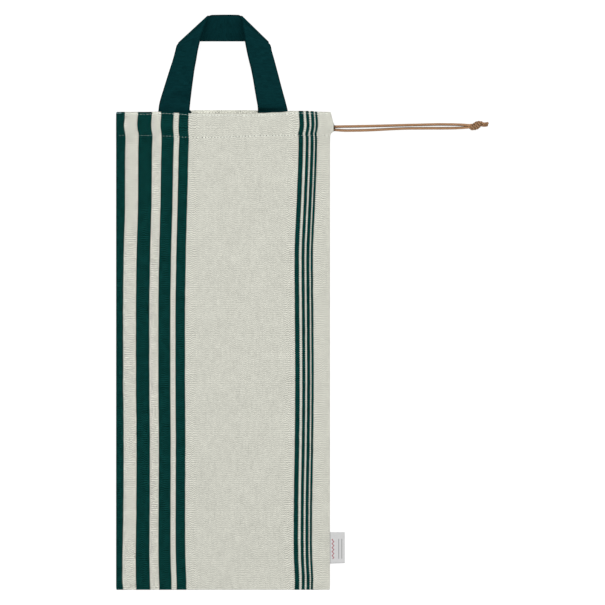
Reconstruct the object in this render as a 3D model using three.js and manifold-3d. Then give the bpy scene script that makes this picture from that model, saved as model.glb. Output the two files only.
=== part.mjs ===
// A cloth bread bag lying on its back, empty and flat, with its webbing handle spread above the mouth and
// the two strands of its drawcord laid out to the right. Millimetres. X runs across the bag, Y along it
// towards the mouth and Z up from the table. The origin is the middle of the bag's underside.

import * as THREE from "three";
import { LoftGeometry } from "three/addons/geometries/LoftGeometry.js";
import { mergeVertices } from "three/addons/utils/BufferGeometryUtils.js";
import Module from "manifold-3d";

const wasm = await Module();
wasm.setup();

const { lerp, smoothstep, degToRad } = THREE.MathUtils;
const point = (x, y, z) => new THREE.Vector3(x, y, z);

// Driving dimensions of the bag
const BAG_WIDTH = 280;
const BAG_LENGTH = 624;
const CLOTH = 1;
const MOUTH_Y = BAG_LENGTH / 2;
const EDGE_X = BAG_WIDTH / 2;
const SIDE_GAP = 0.8; // height left clear between the panels along the fold and the seam
const CROWN_POWER = 2.4; // how squarely the upper panel rises from its edges to its middle
const RING_POINTS = 40;

// Driving dimensions of the drawcord and its channel
const CORD_DIAMETER = 3.2;
const CORD_SIDES = 8;
const CORD_DEPTH = 21; // below the mouth's edge
const CORD_PLAY = 0.35; // clear space round the cord
const CHANNEL = CORD_DIAMETER + 2 * CORD_PLAY;
const EXIT_HOLE = CHANNEL + 0.7; // the hole in the hem that each strand leaves by
const CHANNEL_SPREAD = 10; // half the width of the swelling that the cord makes in the hem
const EXIT_HEIGHT = 6.6; // the hem's height where the strands leave it
const EXIT_START = 126; // where the hem begins to sink towards that height
const EXIT_END = 141;
const FRONT_STEP = 28; // between the points of the cord's route across the upper panel
const TURN_STEPS = 6; // round the left fold
const BACK_STOPS = [-120, -60, 0, 60, 110]; // and back across the lower panel

// Driving dimensions of the handle and the label
const STRAP_WIDTH = 39;
const STRAP_THICKNESS = 2;
const STRAP_END = 31; // how far the sewn ends reach below the mouth's edge
const STRAP_BRIDGE = 14; // half the length over which the stiff webbing rides up over the cord
const SEWN_GAP = 0.3; // between pieces that are sewn or laid together
const LABEL_WIDTH = 18.2;
const LABEL_HEIGHT = 40.4;
const LABEL_LAYER = 1;
const LABEL_SLIT = 0.4;
const LABEL_Y = -257;

// The bag's sections from the mouth to the bottom seam.
// down: below the mouth's edge. layers: of cloth in each panel. ceiling: inside height in the middle.
// nose: how far the right edge is drawn out. seam: width of solid seam there. inset: rounding of corners.
const SECTIONS = [
  { down: 0, layers: 2, ceiling: 13.6, nose: 0.6, seam: 4, inset: 0.5 },
  { down: 3, layers: 1.9, ceiling: 13.6, nose: 1.4, seam: 6, inset: 0 },
  { down: 7, layers: 2.1, ceiling: 13.8, nose: 2.2, seam: 9, inset: 0 },
  { down: 11, layers: 2.1, ceiling: 14.0, nose: 2.8, seam: 12, inset: 0 },
  { down: 14, layers: 2, ceiling: 14.0, nose: 3.4, seam: 14, inset: 0 },
  { down: 17, layers: 2, ceiling: 14.0, nose: 4.1, seam: 16, inset: 0 },
  { down: 19, layers: 2, ceiling: 14.0, nose: 4.5, seam: 16.5, inset: 0 },
  { down: 21, layers: 2, ceiling: 14.0, nose: 4.6, seam: 16.5, inset: 0 },
  { down: 23, layers: 2, ceiling: 14.0, nose: 4.5, seam: 16.5, inset: 0 },
  { down: 25, layers: 2, ceiling: 14.0, nose: 4.1, seam: 16, inset: 0 },
  { down: 28, layers: 2.1, ceiling: 14.0, nose: 2.4, seam: 11, inset: 0 },
  { down: 31.5, layers: 1.9, ceiling: 14.1, nose: 0.3, seam: 6, inset: 0.2 },
  { down: 35, layers: 1, ceiling: 14.2, nose: 0, seam: 3, inset: 0.2 },
  { down: 70, layers: 1, ceiling: 14.4, nose: 0.2, seam: 1.2, inset: 0 },
  { down: 130, layers: 1, ceiling: 14.4, nose: 0.1, seam: 1.2, inset: 0 },
  { down: 210, layers: 1, ceiling: 14.2, nose: -0.4, seam: 1.2, inset: 0 },
  { down: 300, layers: 1, ceiling: 14.0, nose: 0.3, seam: 1.2, inset: 0 },
  { down: 390, layers: 1, ceiling: 13.5, nose: 0.2, seam: 1.2, inset: 0 },
  { down: 470, layers: 1, ceiling: 11.4, nose: -0.2, seam: 1.2, inset: 0 },
  { down: 535, layers: 1, ceiling: 8.3, nose: 0, seam: 1.2, inset: 0 },
  { down: 580, layers: 1, ceiling: 5.3, nose: 0, seam: 1.2, inset: 0 },
  { down: 608, layers: 1, ceiling: 3.1, nose: 0, seam: 1.2, inset: 0.1 },
  { down: 619, layers: 1, ceiling: 2.0, nose: 0.1, seam: 1.2, inset: 0.5 },
];
// The rounded edge of the bottom seam. pinch: share of the height that is left.
const BOTTOM_EDGE = [
  { down: 622.6, layers: 1, ceiling: 1.8, nose: 0, seam: 1.2, inset: 1.2 },
  { down: 623.6, layers: 1, ceiling: 1.8, nose: 0, seam: 1.2, inset: 1.8, pinch: 0.7 },
  { down: 624, layers: 1, ceiling: 1.8, nose: 0, seam: 1.2, inset: 2.4, pinch: 0 },
];
const INSIDE_BOTTOM = { down: 622, layers: 1, ceiling: 1.8, nose: 0, seam: 1.2, inset: 0.8, pinch: 0 };

// The mouth's two edges lie a little apart between the handle's legs.
const FRONT_SAG = 1.9;
const BACK_RISE = 1.8;
const MOUTH_LEVEL_FROM = 90; // how far from the middle the two edges are level again
const MOUTH_SAG_TO = 40;
const MOUTH_SAG_DEPTH = 18;

// Soft waves of the upper panel, which begin below the hem. height, spacing across and along, and start.
const WAVES_FROM = 35;
const WAVES_FULL = 70;
const WAVES = [
  { height: 0.22, across: 118, along: 410, start: 0.6 },
  { height: 0.15, across: 67, along: -235, start: 2.1 },
];

// The handle's legs from the mouth to the mitre, seen from above. outer and inner are the places of the
// two edges across, and lift is the height of the outer edge. The webbing keeps its width, so where it
// looks narrower its inner edge stands higher.
const LEFT_LEG = [
  { y: 319, outer: -84.2, inner: -45.2, lift: 3.2 },
  { y: 327.6, outer: -82.4, inner: -43.6, lift: 2.9 },
  { y: 340.7, outer: -78.4, inner: -41.4, lift: 2.3 },
  { y: 353.7, outer: -74.3, inner: -39.8, lift: 2.2 },
  { y: 366.8, outer: -70.1, inner: -38.1, lift: 2.9 },
  { y: 379.8, outer: -65.8, inner: -35.7, lift: 4.0 },
  { y: 391.5, outer: -62.6, inner: -33.6, lift: 5.3 },
];
const RIGHT_LEG = [
  { y: 319, outer: 83.3, inner: 44.4, lift: 3.2 },
  { y: 327.6, outer: 80.9, inner: 43.2, lift: 2.9 },
  { y: 340.7, outer: 77.0, inner: 41.2, lift: 2.3 },
  { y: 353.7, outer: 73.7, inner: 39.2, lift: 2.2 },
  { y: 366.8, outer: 70.1, inner: 36.6, lift: 2.9 },
  { y: 379.8, outer: 66.6, inner: 33.6, lift: 4.0 },
  { y: 391.5, outer: 63.3, inner: 31.1, lift: 5.3 },
];
// Where each sewn end lies across the hem, the last ruling before the mitre, and the mitre's visible line.
const LEFT_END = {
  outer: -85,
  inner: -45.9,
  fanOuter: point(-60.3, 398.2, 6),
  fanInner: point(-29, 414, 30.2),
  mitreOuter: point(-58.6, 401.3, 0),
  mitreInner: point(-21.5, 437.4, 0),
};
const RIGHT_END = {
  outer: 84.2,
  inner: 45.1,
  fanOuter: point(61.6, 397.9, 6),
  fanInner: point(28, 414, 28),
  mitreOuter: point(60.4, 401.3, 0),
  mitreInner: point(25.2, 437.2, 0),
};
const MITRE_RADIUS = 3;
const MITRE_FROM = degToRad(44); // the leg leaves the bend rising at this angle
const MITRE_TO = degToRad(155); // the top part leaves it falling towards the table
const MITRE_STEPS = 4;
const TOP_LOW_Y = 404.6; // the top part's lower edge, on the table
const TOP_HIGH_Y = 438.6;
const TOP_LOW_Z = ((STRAP_THICKNESS / 2) * (TOP_HIGH_Y - TOP_LOW_Y)) / STRAP_WIDTH;
const TOP_HIGH_Z = TOP_LOW_Z + Math.sqrt(STRAP_WIDTH ** 2 - (TOP_HIGH_Y - TOP_LOW_Y) ** 2);
const TOP_RULINGS = [{ inner: 20, outer: 42 }, { inner: 12, outer: 14 }]; // from the middle, on each side

// The free strands from the hem's nose to the knot, laid on the table. z is the height of the middle.
const LYING = CORD_DIAMETER / 2 + 0.1;
const UPPER_STRAND = [
  [141.2, 293.1, 3.4], [147, 292.6, 3.1], [155, 293, 2.2], [170, 293.2, LYING], [199, 293.2, LYING],
  [215, 294, LYING], [235, 294, LYING], [252, 294.1, LYING], [266, 295.8, LYING], [283, 296.4, LYING],
  [297, 295.6, LYING], [308, 295.4, 2.0], [315.5, 295.3, 3.9], [320.9, 295.3, 5.1],
];
const LOWER_STRAND = [
  [141.2, 289.0, 3.4], [147, 288.5, 3.1], [157, 287.9, 2.2], [170, 287.6, LYING], [185, 287.8, LYING],
  [200, 288.9, LYING], [215, 289.3, LYING], [225, 290.1, LYING], [250, 290.3, LYING], [280, 290.5, LYING],
  [300, 290.5, LYING], [309, 290.8, 2.0], [315.5, 291.2, 3.9], [320.9, 291.7, 5.1],
];
// The same two strands inside the hem, from the nose to where they reach the upper and the lower panel.
const UPPER_ENTRY = [[140.5, 293.1, 3.4], [137.5, 292.8, 3.9], [134, 292.2, 5.9], [130, 291.4, 8.7]];
const LOWER_ENTRY = [[126, 290.9, 2.95], [131, 290.3, 2.95], [136, 289.5, 3.1], [140.5, 289.0, 3.4]];

// The knot and its two tails. Each wrap's place is along and across the cord from the knot's middle.
const KNOT_RING = 4.3;
const KNOT_BAND = 1.9;
const KNOT_FACETS = 16;
const KNOT = point(329.4, 294, KNOT_RING + KNOT_BAND);
const KNOT_WRAPS = [
  { along: -2.3, aside: -1.0, turn: degToRad(-36), lean: degToRad(8) },
  { along: 2.3, aside: 1.3, turn: degToRad(-32), lean: degToRad(-10) },
];
const KNOT_CORES = [
  [[321.5, 295.3, 5.2], [326, 294.8, 5.9], [331, 293.2, 6.0], [336, 293.2, 5.0], [345, 293.7, 1.9]],
  [[321.5, 291.7, 5.2], [326, 292.4, 5.9], [331, 294.8, 6.2], [337, 296.4, 5.2], [346.2, 297.7, 1.9]],
];

// Colours as the eye sees them
const ECRU = 0xcdcec4;
const GREEN = 0x08302f;
const TAN = 0xa57f62;
const LABEL_GREY = 0xd2d2cf;

function material(color, roughness) {
  return new THREE.MeshStandardMaterial({ color, roughness, metalness: 0 });
}

function toSolid(geometry) {
  const bare = new THREE.BufferGeometry();
  bare.setAttribute("position", geometry.getAttribute("position"));
  bare.setIndex(geometry.index);
  const merged = mergeVertices(bare, 1e-3);
  const mesh = new wasm.Mesh({
    numProp: 3,
    vertProperties: new Float32Array(merged.attributes.position.array),
    triVerts: new Uint32Array(merged.index.array),
  });
  return new wasm.Manifold(mesh);
}

function toGeometry(solid) {
  const mesh = solid.getMesh();
  const geometry = new THREE.BufferGeometry();
  geometry.setAttribute("position", new THREE.BufferAttribute(mesh.vertProperties, 3));
  geometry.setIndex(new THREE.BufferAttribute(mesh.triVerts, 1));
  geometry.computeVertexNormals();
  return geometry;
}

// A curve through points whose steps follow the points, so that closely set points get short steps.
class Route extends THREE.CatmullRomCurve3 {
  getPointAt(u, target) {
    return this.getPoint(u, target);
  }

  getTangentAt(u, target) {
    return this.getTangent(u, target);
  }
}

function tube(points, diameter, stepsPerPoint = 2) {
  const section = new THREE.Shape();
  section.absarc(0, 0, diameter / 2, 0, 2 * Math.PI);
  return new THREE.ExtrudeGeometry(section, {
    curveSegments: CORD_SIDES / 2,
    steps: stepsPerPoint * (points.length - 1),
    extrudePath: new Route(points),
    bevelEnabled: false,
  });
}

const toPoints = (rows) => rows.map(([x, y, z]) => point(x, y, z));

// Cloth thickness of one panel: its layers and the swelling round the cord in the channel.
function wallOf({ layers, down }, spread = CHANNEL_SPREAD) {
  const away = Math.min(1, Math.abs(down - CORD_DEPTH) / spread);
  return layers * CLOTH + CHANNEL * Math.cos((Math.PI / 2) * away) ** 2;
}

// Height of the upper panel's inside face: lowest along both edges, highest in the middle.
function ceilingOf(section, x) {
  const wall = wallOf(section);
  const edge = wall + SIDE_GAP;
  const rise = 1 - Math.min(1, Math.abs(x) / EDGE_X) ** CROWN_POWER;
  const wave = WAVES.reduce(
    (sum, { height, across, along, start }) =>
      sum + height * Math.sin(2 * Math.PI * (x / across + section.down / along) + start),
    0,
  );
  const below = smoothstep(section.down, WAVES_FROM, WAVES_FULL);
  const middle = Math.max(edge, section.ceiling + wave * below);
  return lerp(edge, middle, rise);
}

// Height of the upper panel's outside face, which sinks towards the nose where the strands come out.
function roofOf(section, x) {
  const roof = ceilingOf(section, x) + wallOf(section);
  return lerp(roof, Math.min(roof, EXIT_HEIGHT), smoothstep(x, EXIT_START, EXIT_END));
}

// One closed section of the bag: along the upper panel to the right, then back along the lower one.
function bagRing(section, inside) {
  const wall = wallOf(section);
  const left = -EDGE_X + section.inset + (inside ? wall : 0);
  const right = EDGE_X - section.inset + section.nose - (inside ? section.seam : 0);
  const pinch = section.pinch ?? 1;
  return Array.from({ length: RING_POINTS }, (_, i) => {
    const angle = (2 * Math.PI * i) / RING_POINTS;
    const x = lerp(left, right, (1 - Math.cos(angle)) / 2);
    const side = i % (RING_POINTS / 2) === 0 ? 0 : Math.sign(Math.sin(angle));
    const low = inside ? wall : 0;
    const high = inside ? ceilingOf(section, x) : roofOf(section, x);
    const half = (high - low) / 2;
    const inward = Math.min(1, Math.min(x - left, right - x) / half);
    const round = Math.sqrt(1 - (1 - inward) ** 2);
    const sag = side === 0 ? 0 : 1 - smoothstep(Math.abs(x), MOUTH_SAG_TO, MOUTH_LEVEL_FROM);
    const fade = Math.max(0, 1 - section.down / MOUTH_SAG_DEPTH);
    const shift = sag * fade * (side > 0 ? -FRONT_SAG : BACK_RISE);
    return point(x, MOUTH_Y - section.down + shift, low + half + side * half * round * pinch);
  });
}

// The cord's line inside the hem: across the upper panel, round the left fold and back in the lower panel.
function channelRoute() {
  const row = SECTIONS.find(({ down }) => down === CORD_DEPTH);
  const wall = wallOf(row);
  const y = MOUTH_Y - CORD_DEPTH;
  const turnX = -EDGE_X + wall + SIDE_GAP / 2;
  const turnRadius = (wall + SIDE_GAP) / 2;
  const turnZ = wall + SIDE_GAP / 2;
  const route = [];
  for (let x = EXIT_START; x > turnX + turnRadius; x -= FRONT_STEP) {
    route.push(point(x, y, ceilingOf(row, x) + wall / 2));
  }
  for (let turn = 0; turn <= TURN_STEPS; turn += 1) {
    const angle = (Math.PI * turn) / TURN_STEPS;
    route.push(point(turnX - turnRadius * Math.sin(angle), y, turnZ + turnRadius * Math.cos(angle)));
  }
  for (const x of BACK_STOPS) {
    route.push(point(x, y, wall / 2));
  }
  return [...toPoints(UPPER_ENTRY), ...route, ...toPoints(LOWER_ENTRY)];
}

// The bag: sections up its outside, over the mouth and down its inside, less the channel for the cord.
function bagGeometry() {
  const outside = [...SECTIONS, ...BOTTOM_EDGE].reverse().map((section) => bagRing(section, false));
  const inside = [...SECTIONS, INSIDE_BOTTOM].map((section) => bagRing(section, true));
  const shell = toSolid(new LoftGeometry([...outside, ...inside]));
  const route = channelRoute();
  const half = Math.ceil(route.length / 2);
  const cuts = [
    tube(route.slice(0, half + 2), CHANNEL),
    tube(route.slice(half - 2), CHANNEL),
    tube(toPoints([...UPPER_ENTRY.slice(0, 2).reverse(), ...UPPER_STRAND.slice(1, 3)]), EXIT_HOLE),
    tube(toPoints([...LOWER_ENTRY.slice(-2), ...LOWER_STRAND.slice(1, 3)]), EXIT_HOLE),
  ];
  return toGeometry(cuts.reduce((left, cut) => left.subtract(toSolid(cut)), shell));
}

// A flat band through rulings, each from its inner to its outer edge, with its thickness to both sides.
function ribbon(rulings, thickness) {
  const middles = rulings.map(({ inner, outer }) => inner.clone().add(outer).multiplyScalar(0.5));
  const sections = rulings.map(({ inner, outer }, i) => {
    const before = middles[Math.max(0, i - 1)];
    const after = middles[Math.min(middles.length - 1, i + 1)];
    const along = after.clone().sub(before);
    const half = outer.clone().sub(inner).cross(along).normalize().multiplyScalar(thickness / 2);
    return [
      inner.clone().add(half),
      outer.clone().add(half),
      outer.clone().sub(half),
      inner.clone().sub(half),
    ];
  });
  return new LoftGeometry(sections, { capStart: true, capEnd: true });
}

// Half of the handle from its sewn end to the middle of the top part.
function handleHalf(leg, end) {
  const rulings = [];
  const sewn = SECTIONS.filter(({ down }) => down < STRAP_END).reverse();
  for (const section of [{ ...sewn[0], down: STRAP_END }, ...sewn]) {
    const z = wallOf(section, STRAP_BRIDGE) + SEWN_GAP + STRAP_THICKNESS / 2;
    const y = MOUTH_Y - section.down;
    rulings.push({ inner: point(end.inner, y, z), outer: point(end.outer, y, z) });
  }
  for (const { y, outer, inner, lift } of leg) {
    const across = Math.abs(outer - inner);
    const tilt = Math.sqrt(Math.max(0, STRAP_WIDTH ** 2 - across ** 2));
    rulings.push({ inner: point(inner, y, lift + tilt), outer: point(outer, y, lift) });
  }
  rulings.push({ inner: end.fanInner, outer: end.fanOuter });
  const side = Math.sign(end.outer);
  const line = end.mitreInner.clone().sub(end.mitreOuter);
  const outward = point(line.y * side, -line.x * side, 0).normalize();
  const sink = MITRE_RADIUS * Math.cos(MITRE_TO);
  const outerCentre = end.mitreOuter.clone().addScaledVector(outward, -MITRE_RADIUS).setZ(TOP_LOW_Z - sink);
  const innerCentre = end.mitreInner.clone().addScaledVector(outward, -MITRE_RADIUS).setZ(TOP_HIGH_Z - sink);
  const upward = innerCentre.clone().sub(outerCentre).cross(outward).normalize().multiplyScalar(side);
  for (let step = 0; step <= MITRE_STEPS; step += 1) {
    const angle = lerp(MITRE_FROM, MITRE_TO, step / MITRE_STEPS);
    const offset = upward.clone().multiplyScalar(MITRE_RADIUS * Math.cos(angle));
    offset.addScaledVector(outward, MITRE_RADIUS * Math.sin(angle));
    rulings.push({ inner: innerCentre.clone().add(offset), outer: outerCentre.clone().add(offset) });
  }
  for (const { inner, outer } of TOP_RULINGS) {
    rulings.push({
      inner: point(side * inner, TOP_HIGH_Y, TOP_HIGH_Z),
      outer: point(side * outer, TOP_LOW_Y, TOP_LOW_Z),
    });
  }
  return rulings;
}

function handleGeometry() {
  const left = handleHalf(LEFT_LEG, LEFT_END);
  const right = handleHalf(RIGHT_LEG, RIGHT_END).reverse();
  return ribbon([...left, ...right], STRAP_THICKNESS);
}

// The label: a hairpin fold of two layers, its open ends at the seam.
function labelGeometry() {
  const height = 2 * LABEL_LAYER + LABEL_SLIT;
  const bend = LABEL_WIDTH - height / 2;
  const profile = new THREE.Shape();
  profile.moveTo(0, 0);
  profile.absarc(bend, height / 2, height / 2, -Math.PI / 2, Math.PI / 2);
  profile.lineTo(0, height);
  profile.lineTo(0, height - LABEL_LAYER);
  profile.absarc(bend, height / 2, LABEL_SLIT / 2, Math.PI / 2, -Math.PI / 2, true);
  profile.lineTo(0, LABEL_LAYER);
  return new THREE.ExtrudeGeometry(profile, { depth: LABEL_HEIGHT, curveSegments: 3, bevelEnabled: false });
}

// The knot: two bands wrapped round the pair of cords that runs through it and ends in the tails.
function knotGeometry() {
  const wraps = KNOT_WRAPS.map(({ along, aside, turn, lean }) => {
    const ring = new THREE.TorusGeometry(KNOT_RING, KNOT_BAND, CORD_SIDES, KNOT_FACETS);
    ring.rotateY(Math.PI / 2 + lean);
    ring.rotateZ(turn);
    ring.translate(KNOT.x + along, KNOT.y + aside, KNOT.z);
    return toSolid(ring);
  });
  const cores = KNOT_CORES.map((rows) => toSolid(tube(toPoints(rows), CORD_DIAMETER)));
  return toGeometry([...wraps, ...cores].reduce((whole, piece) => whole.add(piece)));
}

function named(name, geometry, look) {
  const mesh = new THREE.Mesh(geometry, look);
  mesh.name = name;
  return mesh;
}

function breadBag() {
  const cloth = material(ECRU, 0.9);
  const webbing = material(GREEN, 0.85);
  const cord = material(TAN, 0.8);
  const satin = material(LABEL_GREY, 0.55);
  const label = named("side_label", labelGeometry(), satin);
  label.rotation.x = Math.PI / 2;
  label.position.set(EDGE_X + SEWN_GAP, LABEL_Y + LABEL_HEIGHT / 2, 0);
  const group = new THREE.Group();
  group.add(
    named("bag", bagGeometry(), cloth),
    named("handle", handleGeometry(), webbing),
    named("drawcord_in_channel", tube(channelRoute(), CORD_DIAMETER), cord),
    named("drawcord_upper_strand", tube(toPoints(UPPER_STRAND), CORD_DIAMETER), cord),
    named("drawcord_lower_strand", tube(toPoints(LOWER_STRAND), CORD_DIAMETER), cord),
    named("drawcord_knot", knotGeometry(), cord),
    label,
  );
  return group;
}

export default breadBag();
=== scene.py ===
"""A striped cloth bread bag lying flat: bag, hem stitches, handle, drawcord and side tab, on a plain stage.

Tables and shape functions are in millimetres and finished meshes in metres. X runs across the bag from its
fold to its seam, Y along it towards the mouth, and Z up from the table.
"""

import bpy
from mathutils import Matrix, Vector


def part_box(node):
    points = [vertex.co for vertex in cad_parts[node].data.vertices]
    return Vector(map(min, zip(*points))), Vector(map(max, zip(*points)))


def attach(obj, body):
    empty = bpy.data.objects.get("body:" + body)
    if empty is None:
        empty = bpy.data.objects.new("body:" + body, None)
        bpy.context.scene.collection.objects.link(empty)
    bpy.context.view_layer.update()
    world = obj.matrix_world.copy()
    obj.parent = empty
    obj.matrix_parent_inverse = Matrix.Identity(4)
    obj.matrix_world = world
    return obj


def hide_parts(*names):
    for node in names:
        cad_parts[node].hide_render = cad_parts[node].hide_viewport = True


bl_info = {
    "name": "Bread Bag",
    "version": (1, 0, 0),
    "blender": (4, 5, 0),
    "location": "View3D > Sidebar > Bread Bag",
    "description": "Makes a striped cloth bread bag with its handle, drawcord and side tab",
    "category": "Object",
}

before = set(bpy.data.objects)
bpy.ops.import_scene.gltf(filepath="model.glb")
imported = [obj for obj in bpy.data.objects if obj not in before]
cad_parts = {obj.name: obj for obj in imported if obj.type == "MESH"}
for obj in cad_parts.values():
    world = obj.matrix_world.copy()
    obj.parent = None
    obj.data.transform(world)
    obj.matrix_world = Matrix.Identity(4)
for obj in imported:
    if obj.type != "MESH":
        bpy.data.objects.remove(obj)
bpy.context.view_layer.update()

import math
from functools import reduce

import bmesh
import bpy
import numpy as np
from bpy.props import FloatProperty, FloatVectorProperty, PointerProperty
from bpy.types import Operator, Panel, PropertyGroup
from mathutils import Vector

MM = 0.001
BAG_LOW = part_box("bag")[0]
BODY = "root"

# The photograph: a square frame, and where its middle lies on the table
PHOTO_WIDTH = 790.0
PHOTO_MIDDLE = (103.4, 63.1)

# The table: half its width, its height, the points along each side and its glow
TABLE_REACH, TABLE_HEIGHT, TABLE_STEPS, TABLE_GLOW = 6000.0, -0.3, 3, 0.88
# The large soft light, in metres
KEY_SIZE = 3.0
KEY_PLACE = (0.1, 1.3, 2.8)
KEY_AIM = (0.05, 0.1, 0.0)

# The upper panel from the mouth to the bottom seam. down: below the mouth. height: of its outside, mid-way.
PANEL_HEIGHTS = (
    (0, 15.0), (6, 15.4), (22, 16.0), (40, 15.6), (70, 15.4), (130, 15.3), (300, 14.9), (390, 14.4),
    (470, 12.3), (535, 9.2), (580, 6.3), (608, 4.1), (619, 3.0), (624, 2.8),
)
# How far the right edge is drawn out by the cord, and the width of solid seam there
NOSE = (
    (0, 0.6), (8, 2.2), (13, 3.4), (15.5, 4.6), (16.8, 5.3), (25, 5.3), (26.2, 3.1), (28, 1.0), (33, -0.4),
    (624, -0.5),
)
SEAM_WIDTHS = ((0, 4), (11, 12), (18, 16.5), (24, 16.5), (28, 11), (36, 3), (70, 1.2), (624, 1.2))
# How far the side edges draw in at the corners
CORNERS = ((0, 0.4), (2, 0), (619, 0), (622.5, 0.2), (624, 0.7))
# The gap between the panels at the sides, the power of the crown, and a section's least half height
SIDE_GAP, CROWN_POWER, LEAST_HALF = 0.8, 2.4, 0.05
# The sewn line beside the seam: its depth, from where down, and over which share of the swell it fades
SEAM_LINE, SEAM_LINE_DOWN, SEAM_LINE_SWELL = 0.6, (36, 44), (0.05, 0.4)
# How the mesh's columns crowd at the sides: how much, over which width, and a least distance
CROWDING, CROWD_WIDTH, CROWD_LEAST = 2.5, 3.0, 0.02

# The hem: two layers, sewn in two rows, with the cord between them
HEM_EDGE, HEM_STEP = 33.6, 0.5
CORD_DEPTH, CHANNEL_REACH = 21.0, 10.0
# Outside, the cord and the second layer show more softly
OUTSIDE_REACH, OUTSIDE_STEP = 27.0, (26, 46)
# Each row's depth in the cloth's own measure, and where it lies. x: across. down: below the mouth.
ROW_DEPTHS = (3.3, 31.5)
ROW_PLACES = (
    (
        (-140, 2.9), (-105, 3.3), (-90, 2.6), (-77, 1.9), (-58, 1.7), (-40, 2.5), (0, 2.9), (45, 3.1),
        (140, 2.9),
    ),
    (
        (-140, 31.0), (-100, 31.1), (-65, 32.1), (-45, 33.5), (-5, 33.6), (22, 32.2), (70, 31.0),
        (140, 30.8),
    ),
)
# Between which downs the cloth's measure leaves the first row, comes to the second and leaves it
FIRST_LEFT, SECOND_MET, SECOND_LEFT = (4, 14), (14, 25), (36, 70)
ROW_GROOVE, BACK_GROOVE, ROW_WIDTH = 0.2, 0.45, 0.9
# Least and greatest share of each row's stitches that shows, how far from the fold each starts, and its end
STITCH_SHARES = ((0.55, 0.9), (0.3, 0.62))
ROW_STARTS, ROW_END = (6.8, 1.5), 1.5
# A stitch's sink, its arch and its swelling from both ends, in radii of the thread
STITCH_SINK, STITCH_ARCH, STITCH_SWELL = 1.1, 2.2, 1.3
STITCH_SEED = 7
# Puckers along the rows: height, spacing, how slowly that drifts, and reach
PUCKER, PUCKER_SPACING, PUCKER_DRIFT, PUCKER_REACH = 0.14, 13.0, 31.0, 5.0

# The mouth's two edges lie a little apart between the handle's legs. x: across. rise: of the front edge.
FRONT_EDGE = (
    (-140, 0), (-97, -0.15), (-90, 0.1), (-83, -0.1), (-60, -1.55), (-42, -2.1), (40, -2.1), (47, -1.75),
    (55, -1.55), (63, -0.95), (75, -0.65), (80, -0.2), (88, 1.2), (108, 1.2), (116, 0.9), (121, 0.35),
    (140, 0),
)
BACK_RISE, BACK_FROM, BACK_TO = 2.4, 30.0, 75.0
EDGE_DEPTH = 18.0

# Where the strands leave the hem
EXIT_HEIGHT = 6.6
EXIT_FROM, EXIT_TO = 126.0, 141.0
# The slit that they leave by, how it ends up and down, and over which share of the swell it closes
SLIT_DOWN, SLIT_REACH, SLIT_DEPTH = 20.95, 4.6, 8.0
SLIT_EASE, SLIT_SWELL = (0, 2), (0.45, 0.8)
LOWER_LIP, LIP_FADE = 3.2, 5.0
# From and to which x painted shade darkens the cloth and the cord at the hem's exit, where its upper lip
# shades them
EXIT_SHADE_X = (143.4, 144.4, 146.0, 147.4)
# From which x and y to which the mouth's corner at the fold is paler: a painted highlight where light
# catches the folded edge, with the pale weft showing there
GLINT_AND_WEAR_X, GLINT_AND_WEAR_Y = (-132.0, -134.5), (309.0, 310.3)

# Soft creases of the upper panel: from x, y to x, y, then width and height
CREASES = (
    (23, 145, 17, -208, 13, -0.7),
    (56, 210, 58, 132, 9, 0.5),
    (1, 270, 6, 138, 11, 0.5),
    (-30, -282, -26, -306, 8, -0.5),
    (15, -290, 12, -308, 7, -0.5),
    (70, -240, 62, -300, 12, -0.35),
    (118, 284, 84, 268, 7, 0.4),
    (-62, 276, -58, 236, 9, -0.4),
    (64, 276, 66, 240, 9, -0.35),
)
# Broad waves: height, spacing across and along, start
WAVES = ((0.22, 118, 410, 0.6), (0.15, 67, -235, 2.1), (0.1, 43, 170, 4.0))
# Between which downs they grow below the hem and fade above the bottom
WAVES_GROW, WAVES_FADE = (35, 70), (560, 615)

# Woven stripes: where each starts and how wide it is, measured from the fold
STRIPES = (
    (-6, 16.1), (25.4, 19.0), (54.7, 17.1), (77.1, 13.9),
    (232.9, 7.3), (242.1, 5.4), (248.4, 5.5), (254.1, 4.3),
)
# How far the teeth at a stripe's near and far edge reach, and how soft the edges are
NEAR_TOOTH, FAR_TOOTH, STRIPE_BLUR = 0.9, 1.3, 0.12
# How far right of its straight grain the cloth lies: at the fold, two broad stripes and the fine ones
DRIFT_PLACES = (4.0, 34.0, 84.0, 245.0)
DRIFT = (
    (0, 2.2, 2.8, 4.8, 5.0), (10, 1.9, 2.4, 4.4, 5.7), (17, 1.0, 1.8, 4.2, 6.0), (24, 1.7, 2.5, 4.2, 5.3),
    (29, 2.6, 3.8, 4.5, 4.3), (34, 3.0, 3.8, 5.0, 4.9), (50, 2.5, 3.2, 4.4, 4.7), (115, 2.5, 2.9, 2.9, 2.4),
    (193, 0.5, 0.9, 1.0, -0.6), (272, 0, 0, 0, 0), (350, 0, 0.1, 0, 0.4), (430, 0.6, 0.8, 0.4, -0.2),
    (507, 0.4, 0.6, 0.2, -1.5), (559, -0.5, 0.1, 0.2, -1.8), (585, -1.1, 0.1, 0.5, -1.4),
    (611, -1.3, 0.4, 1.5, -0.2), (624, -0.4, 0.8, 1.6, -0.4),
)

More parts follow.
